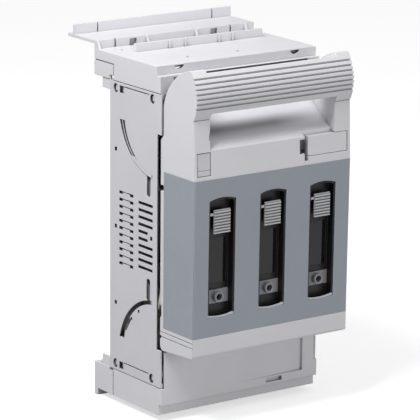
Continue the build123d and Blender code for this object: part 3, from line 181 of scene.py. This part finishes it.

# %% [markdown]
# Two tones make one plastic: the body colour, and a slightly paler one laid on the edges
# as a painted highlight. A slow noise darkens the body by a few parts in a hundred, so that
# large walls are not flat. Slots then get painted shade, darker by how shut they are. The
# walls use a long reach as well as a short one, because their gaps are deep. On the lid
# the long reach is held back, or the recess would turn grey.

# %% Moulded plastic
narrow_slots = [dict(reach=0.002, shut=0.2, wide=0.72, deepest=0.0)]
rib_slots = [dict(reach=0.0012, shut=0.45, wide=0.95, deepest=0.0)]
wall_gaps = [
    dict(reach=0.0035, shut=0.25, wide=0.8, deepest=0.05),
    dict(reach=0.018, shut=0.15, wide=0.6, deepest=0.25),
]
lid_gaps = [
    dict(reach=0.0016, shut=0.2, wide=0.65, deepest=0.35),
    dict(reach=0.010, shut=0.15, wide=0.6, deepest=0.45),
]
slot_shade_tone = (0.02, 0.02, 0.022, 1.0)
cloud_darkening = 0.965
gloss_swing = 0.05
plastic_edge_radius = 0.0004
plastic_ior = 1.5


def moulded_plastic(name, body, edge, gloss, grain, depth, slots=narrow_slots, shine=0.5):
    material, tree, shader = start_material(name)
    place = object_place(tree)
    rounded = soft_edges(tree, plastic_edge_radius)
    cloudy = spread(tree, noise(tree, place, scale=38.0, detail=3.0), 0.0, 1.0)
    darker = tuple(c * cloud_darkening for c in srgb(body)[:3]) + (1.0,)
    tone = mix_colour(tree, cloudy, srgb(body), darker)
    # Painted highlight: the paler edge colour is laid along every edge.
    tone = mix_colour(tree, edge_highlight_share(tree, rounded), tone, srgb(edge))
    # Painted shade: each setting darkens the colour by how shut a point lies.
    for slot in slots:
        tone = mix_colour(tree, open_share(tree, **slot), slot_shade_tone, tone)
    tree.links.new(tone, shader.inputs["Base Color"])
    uneven = noise(tree, place, scale=210.0, detail=4.0)
    rough = spread(tree, uneven, gloss - gloss_swing, gloss + gloss_swing)
    tree.links.new(rough, shader.inputs["Roughness"])
    sparks = noise(tree, place, scale=grain, detail=2.0)
    grained = bump(tree, sparks, rounded, strength=0.35, distance=depth)
    tree.links.new(grained, shader.inputs["Normal"])
    shader.inputs["IOR"].default_value = plastic_ior
    shader.inputs["Specular IOR Level"].default_value = shine
    return material


case_plastic = moulded_plastic(
    "case plastic", "#D4D3D8", "#E6E6EA", gloss=0.46, grain=2600.0, depth=0.00006, slots=wall_gaps
)
cover_plastic = moulded_plastic(
    "cover plastic", "#DCDCE0", "#F0F0F3", gloss=0.44, grain=2600.0, depth=0.00006, slots=lid_gaps
)
print("made", case_plastic.name, "and", cover_plastic.name)

# %% [markdown]
# The slots in the side walls open onto the shaded works behind them, and so does the notch
# beside the marker; here they get painted shade. They could be masked with a painted
# picture. A box in the object's own coordinates does the same: inside it the plastic goes
# dark. The wall's box begins a little below the outer face and stops short of the wall's ends.


# %% Painted shade in slots
def zone_share(tree, middle, tests):
    """1 where every test on the distance from the middle holds, otherwise 0."""
    away = tree.nodes.new("ShaderNodeVectorMath")
    away.operation = "SUBTRACT"
    away.inputs[1].default_value = middle
    tree.links.new(object_place(tree), away.inputs[0])
    size = tree.nodes.new("ShaderNodeVectorMath")
    size.operation = "ABSOLUTE"
    tree.links.new(away.outputs["Vector"], size.inputs[0])
    distance = split_axes(tree, size.outputs["Vector"])
    found = None
    for axis, operation, limit in tests:
        test = calculate(tree, operation, distance[axis], limit)
        found = test if found is None else calculate(tree, "MULTIPLY", found, test)
    return found


def box_zone(tree, middle, half):
    tests = [(axis, "LESS_THAN", limit) for axis, limit in zip("XYZ", half)]
    return zone_share(tree, middle, tests)


def paint_over(material, share, strength, colour):
    tree = material.node_tree
    base = tree.nodes["Principled BSDF"].inputs["Base Color"]
    scaled = calculate(tree, "MULTIPLY", share, strength)
    under = base.links[0].from_socket
    tree.links.new(mix_colour(tree, scaled, under, colour), base)


gap_shade_tone = (0.03, 0.03, 0.033, 1.0)
wall_slots = (("X", "LESS_THAN", 0.0528), ("X", "GREATER_THAN", 0.0506), ("Y", "LESS_THAN", 0.021))
# Painted shade on the slot floors of the side walls and in the notch.
slot_shade_share = zone_share(case_plastic.node_tree, (0.0, -0.006, 0.0), wall_slots)
paint_over(case_plastic, slot_shade_share, 0.75, gap_shade_tone)
cover_tree = cover_plastic.node_tree
notch_shade_share = box_zone(cover_tree, (0.02045, -0.054, 0.1499), (0.0026, 0.0049, 0.0067))
paint_over(cover_plastic, notch_shade_share, 0.85, gap_shade_tone)
print("slots darkened")

# %% [markdown]
# The hollow behind the grip shows a soft dark band in the photograph, where its curve
# turns away from the light. A rounder hollow under other lamps could give it. The solid
# here is a plainer ramp, so the material carries the band: darkest on one level line,
# fading above and below it, and fading again towards the right.

# %% Shade in the finger recess
shade_level = 0.1639
shade_half = 0.0044
shade_tone = (0.04, 0.04, 0.043, 1.0)
recess_half = (0.0424, 0.0125, 0.0065)
right_fade = (0.01, 0.042)

recess_share = box_zone(cover_tree, (0.0, -0.0465, shade_level), recess_half)
place = split_axes(cover_tree, object_place(cover_tree))
off_level = calculate(cover_tree, "SUBTRACT", place["Z"], shade_level)
off_level = calculate(cover_tree, "ABSOLUTE", off_level)
band = remap(cover_tree, off_level, (0.0, shade_half), (1.0, 0.0), "SMOOTHSTEP")
band = calculate(cover_tree, "MULTIPLY", band, recess_share)
leftward = remap(cover_tree, place["X"], right_fade, (1.0, 0.1))
band = calculate(cover_tree, "MULTIPLY", band, leftward)
paint_over(cover_plastic, band, 0.72, shade_tone)
print("recess shaded at", shade_level)

# %% [markdown]
# Between the grip and the deck the photograph shows a dark gap. Here only the ledge at
# its foot can be seen from the camera, so a thin strip of that ledge goes dark. The gap
# is there only while the lid is shut. The strip's darkness therefore comes from how
# covered the ledge is, within 40 mm, and it fades when the lid swings away.

# %% Gap behind the grip
gap_half = (0.0355, 0.0022, 0.0006)
# Painted shade: a thin dark strip on the ledge stands for the shade in the gap.
gap_share = box_zone(cover_tree, (0.0095, -0.029, 0.1918), gap_half)
bare = open_share(cover_tree, reach=0.04, shut=0.5, wide=0.7, deepest=0.0)
covered = calculate(cover_tree, "SUBTRACT", 1.0, bare)
gap_shade = calculate(cover_tree, "MULTIPLY", gap_share, covered)
paint_over(cover_plastic, gap_shade, 0.9, gap_shade_tone)
print("gap darkened")

# %% [markdown]
# The skin round the windows is blue-grey, and the carrier behind them nearly black. The
# latches' ribs need their own short reach for the painted shade between them. A painted
# highlight stands for the lit cut edge of the skin, a pale line on each window sill. It could
# be a thin strip of its own, but a zone on the carrier's front edge gives the same line and adds
# no piece.

# %% Darker plastics
panel_plastic = moulded_plastic(
    "panel plastic", "#969CA5", "#C6CAD0", gloss=0.42, grain=3000.0, depth=0.00005
)
carrier_plastic = moulded_plastic(
    "carrier plastic", "#0F1013", "#26282C", gloss=0.38, grain=3000.0, depth=0.00004, shine=0.3
)
marker_plastic = moulded_plastic(
    "marker plastic", "#CFCFD3", "#E4E4E6", gloss=0.45, grain=3000.0, depth=0.00004
)
# Painted highlight: a pale line on the carrier's front edge at each sill.
sill_highlight_zone = (("Y", "GREATER_THAN", 0.0573), ("Z", "LESS_THAN", 0.0013))
sill_highlight_share = zone_share(carrier_plastic.node_tree, (0.0, 0.0, 0.0646), sill_highlight_zone)
paint_over(carrier_plastic, sill_highlight_share, 0.85, srgb("#D0D3D8"))
latch_plastic = moulded_plastic(
    "latch plastic", "#C2C3C6", "#D8D8DB", gloss=0.45, grain=3000.0, depth=0.00004, slots=rib_slots
)
bracket_plastic = moulded_plastic(
    "bracket plastic", "#85868C", "#A2A3A8", gloss=0.36, grain=3000.0, depth=0.00004
)
print("plastics ready")

# %% [markdown]
# The small windows in the carrier are smoked polycarbonate: they look black until light
# comes from behind. A volume would give true smoke, but a dark shader with a little
# transmission and a low roughness is enough here. A very faint ripple keeps its
# reflections from being ruler straight.


# %% Smoked pane
def smoked_pane():
    material, tree, shader = start_material("smoked pane")
    place = object_place(tree)
    rounded = soft_edges(tree, radius=0.0002)
    waves = noise(tree, place, scale=90.0, detail=1.0)
    ripple = bump(tree, waves, rounded, strength=0.1, distance=0.0002)
    tree.links.new(ripple, shader.inputs["Normal"])
    rough = spread(tree, noise(tree, place, scale=300.0, detail=3.0), 0.05, 0.12)
    tree.links.new(rough, shader.inputs["Roughness"])
    tint = spread(tree, noise(tree, place, scale=60.0, detail=2.0), 0.0, 1.0)
    tone = mix_colour(tree, tint, srgb("#17171A"), srgb("#121214"))
    tree.links.new(tone, shader.inputs["Base Color"])
    shader.inputs["Transmission Weight"].default_value = 0.2
    shader.inputs["Specular IOR Level"].default_value = 0.2
    shader.inputs["IOR"].default_value = 1.58
    return material


pane_plastic = smoked_pane()
print("pane ready")

# %% [markdown]
# The metal parts are stamped or turned. Rolled strip has fine lines along its length. An
# anisotropic shader could show them, but needs tangents. A Mapping node that stretches
# the roughness noise along one axis does it simply. The contacts are copper under a thin
# silver layer, with a warm tone where it is thinner. The arc chutes are a dark board.

# %% Metals and board
line_swing = 0.08
along_z = (1.0, 1.0, 0.06)
along_x = (0.08, 1.0, 1.0)
no_stretch = (1.0, 1.0, 1.0)


def rolled_metal(name, bright, dull, gloss, stretch):
    material, tree, shader = start_material(name)
    place = object_place(tree)
    mapping = tree.nodes.new("ShaderNodeMapping")
    mapping.inputs["Scale"].default_value = stretch
    tree.links.new(place, mapping.inputs["Vector"])
    rounded = soft_edges(tree, radius=0.0002)
    lines = noise(tree, mapping.outputs["Vector"], scale=900.0, detail=3.0)
    patches = spread(tree, noise(tree, place, scale=140.0, detail=4.0), 0.0, 1.0)
    tone = mix_colour(tree, patches, srgb(bright), srgb(dull))
    tree.links.new(tone, shader.inputs["Base Color"])
    rough = spread(tree, lines, gloss - line_swing, gloss + line_swing)
    tree.links.new(rough, shader.inputs["Roughness"])
    rolled = bump(tree, lines, rounded, strength=0.15, distance=0.00005)
    tree.links.new(rolled, shader.inputs["Normal"])
    shader.inputs["Metallic"].default_value = 1.0
    return material


silvered_copper = rolled_metal("silvered copper", "#D2D0C9", "#BDB6A4", 0.32, along_z)
spring_steel = rolled_metal("spring steel", "#8E9094", "#77797D", 0.3, along_z)
zinc_plate = rolled_metal("zinc plate", "#BFC1C4", "#A9ABB0", 0.34, no_stretch)
arc_steel = rolled_metal("arc steel", "#A2A5A8", "#8A8683", 0.42, along_x)
arc_board = moulded_plastic(
    "arc board", "#3E3A35", "#504B44", gloss=0.8, grain=1500.0, depth=0.0001
)
print("metals ready")

# %% [markdown]
# The nodes come in with their shapes right, so none is replaced: each only gets its
# finish in its material slots. Numbered pieces share a name up to the number, so the
# longest entry that a node's name starts with decides.

# %% Dress every node
finish_of = {
    "case": case_plastic,
    "bottom_cover": cover_plastic,
    "top_cover": cover_plastic,
    "lid_frame": cover_plastic,
    "lid_panel": panel_plastic,
    "fuse_carrier": carrier_plastic,
    "window_pane": pane_plastic,
    "fuse_latch": latch_plastic,
    "probe_bracket": bracket_plastic,
    "fuse_holder": carrier_plastic,
    "lock_slide": cover_plastic,
    "marker_plate": marker_plastic,
    "hinge_pin": zinc_plate,
    "hook_screws": zinc_plate,
    "terminal_screws": zinc_plate,
    "terminal_washers": zinc_plate,
    "upper_contact": silvered_copper,
    "lower_contact": silvered_copper,
    "busbar_hook": silvered_copper,
    "upper_jaw_spring": spring_steel,
    "lower_jaw_spring": spring_steel,
    "arc_chute": arc_board,
    "arc_plates": arc_steel,
}


def finish_for(name):
    fits = [start for start in finish_of if name.startswith(start)]
    return finish_of[max(fits, key=len)]


for name, piece in nodes.items():
    if not piece.material_slots:
        piece.data.materials.append(finish_for(name))
    for slot in piece.material_slots:
        slot.material = finish_for(name)
print("dressed", len(nodes))

# %% [markdown]
# The ejector pins of the mould leave small round pips on the deck. A bump could fake
# them, but three low cones are real marks that also show from the side. They start just
# under the deck, so no gap shows, and take the panel's darker finish, as in the picture.

# %% Ejector pips
pip_radius = 0.0008
pip_height = 0.0004
pip_taper = 0.8
pip_foot_z = 0.19755
pip_places = ((-0.0432, 0.0226), (-0.024, -0.0123), (0.0083, -0.0138))

pip_mesh = bpy.data.meshes.new("deck_pips")
deck_pips = bpy.data.objects.new("deck_pips", pip_mesh)
scene.collection.objects.link(deck_pips)
pips = bmesh.new()
for x, y in pip_places:
    cone = bmesh.ops.create_cone(
        pips,
        cap_ends=True,
        segments=24,
        radius1=pip_radius,
        radius2=pip_radius * pip_taper,
        depth=pip_height,
    )
    middle = (x, y, pip_foot_z + pip_height / 2)
    bmesh.ops.translate(pips, verts=cone["verts"], vec=middle)
bmesh.ops.recalc_face_normals(pips, faces=pips.faces)
pips.to_mesh(pip_mesh)
pips.free()
# The panel's darker finish on the pips is painted shade.
pip_mesh.materials.append(panel_plastic)
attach(deck_pips, "switch_base")
print("pips", len(pip_mesh.polygons))

# %% [markdown]
# The floor is pale paper that keeps the object's shadow. White paper this close would
# throw much light up under the object, which the photograph doesn't have. A Light Path
# node therefore shows a pale, faintly glowing paper to the camera and in reflections,
# and a darker one to the light that it sends back.

# %% Floor
floor_half = 8.0
paper_pale = (0.8, 0.8, 0.8, 1.0)
paper_deep = (0.79, 0.79, 0.795, 1.0)
paper_unseen = (0.3, 0.3, 0.3, 1.0)
paper_glow = 0.6
white = (1.0, 1.0, 1.0, 1.0)

floor_mesh = bpy.data.meshes.new("floor")
floor = bpy.data.objects.new("floor", floor_mesh)
scene.collection.objects.link(floor)
sheet = bmesh.new()
bmesh.ops.create_grid(sheet, x_segments=1, y_segments=1, size=floor_half)
sheet.to_mesh(floor_mesh)
sheet.free()

floor_finish, floor_tree, floor_shader = start_material("floor paper")
fibres = noise(floor_tree, object_place(floor_tree), scale=3.0, detail=2.0)
seen_tone = mix_colour(floor_tree, spread(floor_tree, fibres, 0.0, 1.0), paper_pale, paper_deep)
ray = floor_tree.nodes.new("ShaderNodeLightPath")
seen = ray.outputs["Is Camera Ray"]
for kind in ("Is Glossy Ray", "Is Transmission Ray"):
    seen = calculate(floor_tree, "MAXIMUM", seen, ray.outputs[kind])
floor_tone = mix_colour(floor_tree, seen, paper_unseen, seen_tone)
floor_tree.links.new(floor_tone, floor_shader.inputs["Base Color"])
glow = calculate(floor_tree, "MULTIPLY", seen, paper_glow)
floor_tree.links.new(glow, floor_shader.inputs["Emission Strength"])
floor_shader.inputs["Emission Color"].default_value = white
floor_shader.inputs["Roughness"].default_value = 0.9
floor_mesh.materials.append(floor_finish)
print("floor", len(floor_mesh.polygons))

# %% [markdown]
# An even white surrounding lights every face a little. Two square soft lamps add to it:
# a key lamp high on the left, for the bright top and left side, and a broad one low in
# front, for the grip and the panel. One lamp alone left the front too dark.

# %% Surrounding and lamps
lamp_aim = Vector((0.0, 0.0, 0.1))

world = bpy.data.worlds.new("studio")
world.use_nodes = True
scene.world = world
surround = world.node_tree.nodes["Background"]
surround.inputs["Color"].default_value = white
surround.inputs["Strength"].default_value = 0.38


def softbox(name, direction, distance, size, power):
    lamp = bpy.data.lights.new(name, "AREA")
    lamp.shape = "SQUARE"
    lamp.size = size
    lamp.energy = power
    holder = bpy.data.objects.new(name, lamp)
    away = Vector(direction).normalized()
    holder.location = away * distance + lamp_aim
    holder.rotation_euler = away.to_track_quat("Z", "Y").to_euler()
    scene.collection.objects.link(holder)
    print(name, "at", [round(v, 3) for v in holder.location])


softbox("key softbox", (-0.5, -0.18, 0.83), distance=0.75, size=0.3, power=5.1)
softbox("front softbox", (0.15, -1.0, 0.14), distance=1.4, size=0.6, power=4.0)

# %% [markdown]
# The camera stands where the photograph was taken from: about 35 degrees to the left of
# the front, 14 degrees above, 1.64 metres away, with a long lens. The values come from
# fitting the corners of the case in the picture, and so does the slight roll.

# %% Camera
eye = Vector((-0.9459, -1.3289, 0.5130))
sight = Vector((-0.0216, -0.0312, 0.1159))
roll = Quaternion((0.0, 0.0, 1.0), radians(0.51))

lens = bpy.data.cameras.new("camera")
lens.sensor_width = 36.0
lens.lens = 259.4
camera = bpy.data.objects.new("camera", lens)
camera.location = eye
camera.rotation_euler = ((eye - sight).to_track_quat("Z", "Y") @ roll).to_euler()
scene.collection.objects.link(camera)
scene.camera = camera
scene.view_settings.view_transform = "Standard"
print("camera", round((eye - sight).length, 2), "m away")
